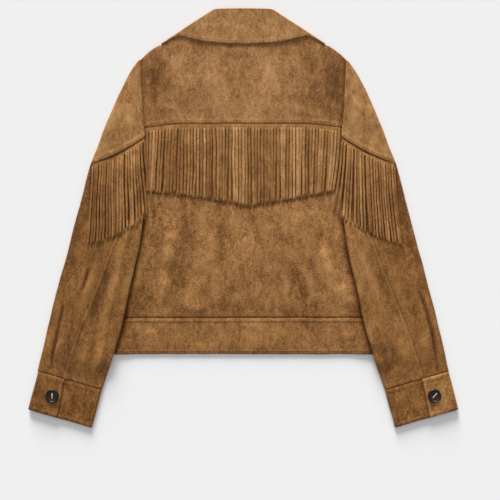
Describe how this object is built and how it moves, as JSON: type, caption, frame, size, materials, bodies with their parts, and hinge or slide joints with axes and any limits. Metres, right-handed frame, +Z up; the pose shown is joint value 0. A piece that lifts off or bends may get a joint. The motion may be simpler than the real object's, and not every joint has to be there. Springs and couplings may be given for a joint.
{
  "type": "fringed buckskin jacket",
  "caption": "Fringed suede jacket laid flat face down: turned-down collar, back and sleeve yokes with hanging fringe, two-piece sleeves, lapped button cuffs and a hem band",
  "frame": {"origin": "Centre of the bounding box's bottom face: on the surface the jacket lies on, under the middle of the back.", "axes": "+X across the jacket to the wearer's right, +Y from the hem to the collar, +Z up from the surface, out of the jacket's back."},
  "size_m": [0.732, 0.713, 0.0164],
  "materials": {
    "suede_light": "matte suede",
    "suede_yoke": "matte suede",
    "suede_body": "matte suede",
    "suede_sleeve": "matte suede",
    "suede_cuff": "matte suede",
    "suede_fringe": "matte suede",
    "button": "satin horn"
  },
  "bodies": {
    "root": {"back_yoke": "suede_yoke", "back_panel": "suede_body", "front_right": "suede_body", "front_left": "suede_body", "hem_band": "suede_body", "collar": "suede_light", "fringe_back": "suede_fringe", "sleeve_yoke_right": "suede_light", "sleeve_yoke_left": "suede_light", "sleeve_upper_right": "suede_sleeve", "sleeve_upper_left": "suede_sleeve", "sleeve_under_right": "suede_sleeve", "sleeve_under_left": "suede_sleeve", "cuff_right": "suede_cuff", "cuff_left": "suede_cuff", "fringe_sleeve_right": "suede_fringe", "fringe_sleeve_left": "suede_fringe", "button_right": "button", "button_left": "button"}
  },
  "joints": []
}
